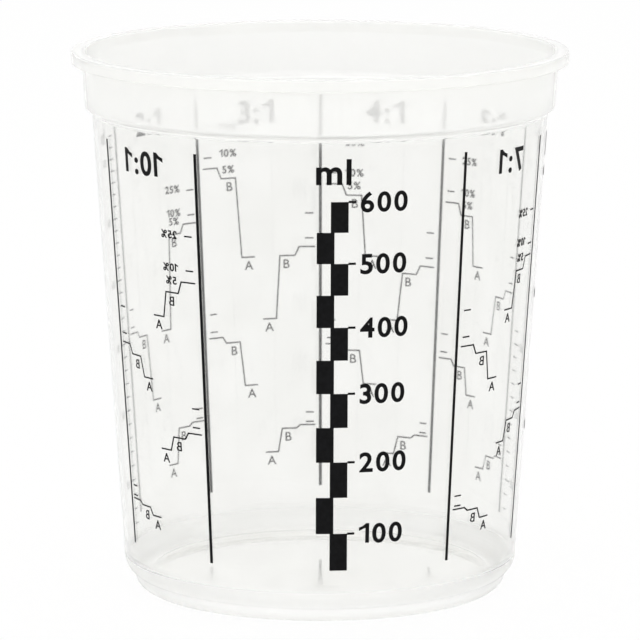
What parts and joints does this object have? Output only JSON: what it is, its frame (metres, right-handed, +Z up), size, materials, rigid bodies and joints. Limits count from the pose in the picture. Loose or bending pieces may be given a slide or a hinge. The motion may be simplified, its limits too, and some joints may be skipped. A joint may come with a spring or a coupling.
{
  "type": "resin mixing cup",
  "caption": "Translucent moulded mixing cup with a turned-out rim, lid collar, standing ring and printed mixing-ratio scales.",
  "frame": {"origin": "centre of the circle that the cup stands on, in the plane of its standing ring", "axes": "+Z up along the cup's axis to its mouth, -Y out through the front gauge's side, +X to the right seen from the front"},
  "size_m": [0.1106, 0.1104, 0.1208],
  "materials": {
    "translucent_shell": "translucent natural polypropylene, smooth moulded gloss",
    "black_ink": "opaque black screen-printed ink, satin"
  },
  "bodies": {
    "root": {"cup_body": "translucent_shell", "divider_lines": "black_ink", "front_gauge": "black_ink", "ratio_10_to_1_stairs": "black_ink", "ratio_7_to_1_stairs": "black_ink", "ratio_5_to_1_stairs": "black_ink", "ratio_4_to_1_stairs": "black_ink", "ratio_3_to_1_stairs": "black_ink", "ratio_2_to_1_stairs": "black_ink", "ratio_1_to_1_ladder": "black_ink", "volume_ladder": "black_ink"}
  },
  "joints": []
}
